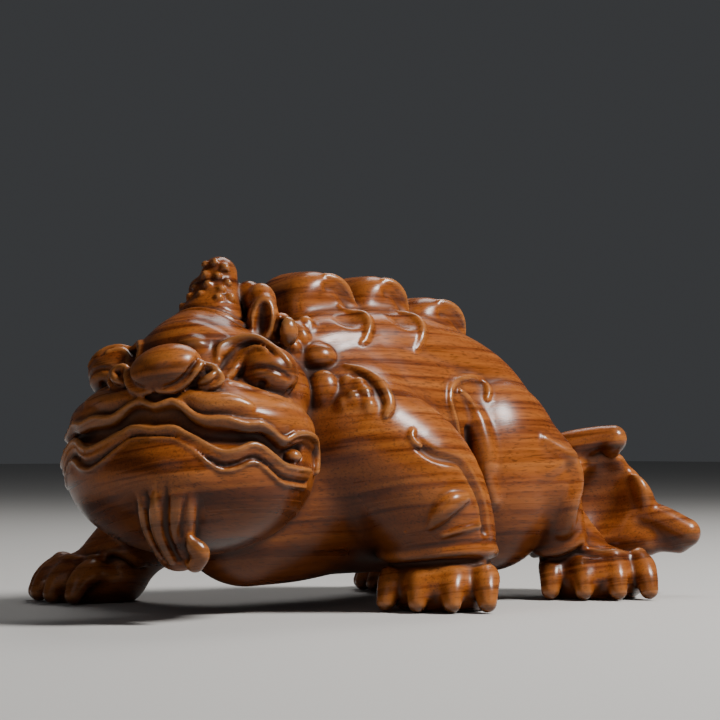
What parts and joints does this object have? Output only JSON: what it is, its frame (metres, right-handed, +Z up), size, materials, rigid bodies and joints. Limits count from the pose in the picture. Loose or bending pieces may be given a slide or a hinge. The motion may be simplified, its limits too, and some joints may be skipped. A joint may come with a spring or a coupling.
{
  "type": "pixiu figure",
  "caption": "Carved rosewood beast prowling on broad paws, with a wide frog-like face, chin beard, scaled crest and a curled tail; stands by its own weight.",
  "frame": {"origin": "on the ground, under the middle of the figure's box", "axes": "+X to the beast's left, +Y to its tail, +Z up; it faces -Y"},
  "size_m": [0.1, 0.16, 0.0725],
  "materials": {
    "carved_rosewood": "waxed and polished, grain along the body"
  },
  "bodies": {
    "root": {"pixiu_figure": "carved_rosewood"}
  },
  "joints": []
}
